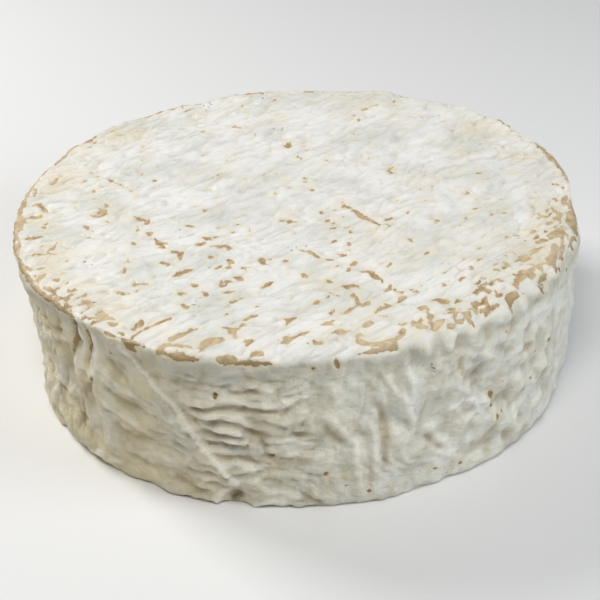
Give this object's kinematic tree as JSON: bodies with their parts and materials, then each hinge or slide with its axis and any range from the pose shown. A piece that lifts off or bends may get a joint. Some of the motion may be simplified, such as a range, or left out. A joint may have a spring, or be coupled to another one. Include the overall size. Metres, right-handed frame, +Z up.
{
  "type": "cheese wheel",
  "caption": "Low round wheel of soft white-rinded cheese with a wrinkled wall, an uneven rim and a flat base.",
  "frame": {"origin": "centre of the wheel's footprint, on the flat base", "axes": "+Z up along the wheel's axis; -Y is the side that faces the camera in the picture"},
  "size_m": [0.1992, 0.2002, 0.061],
  "materials": {
    "white_rind": "matt bloomy mould rind, off-white over ochre, soft sheen"
  },
  "bodies": {
    "root": {"cheese_wheel": "white_rind"}
  },
  "joints": []
}
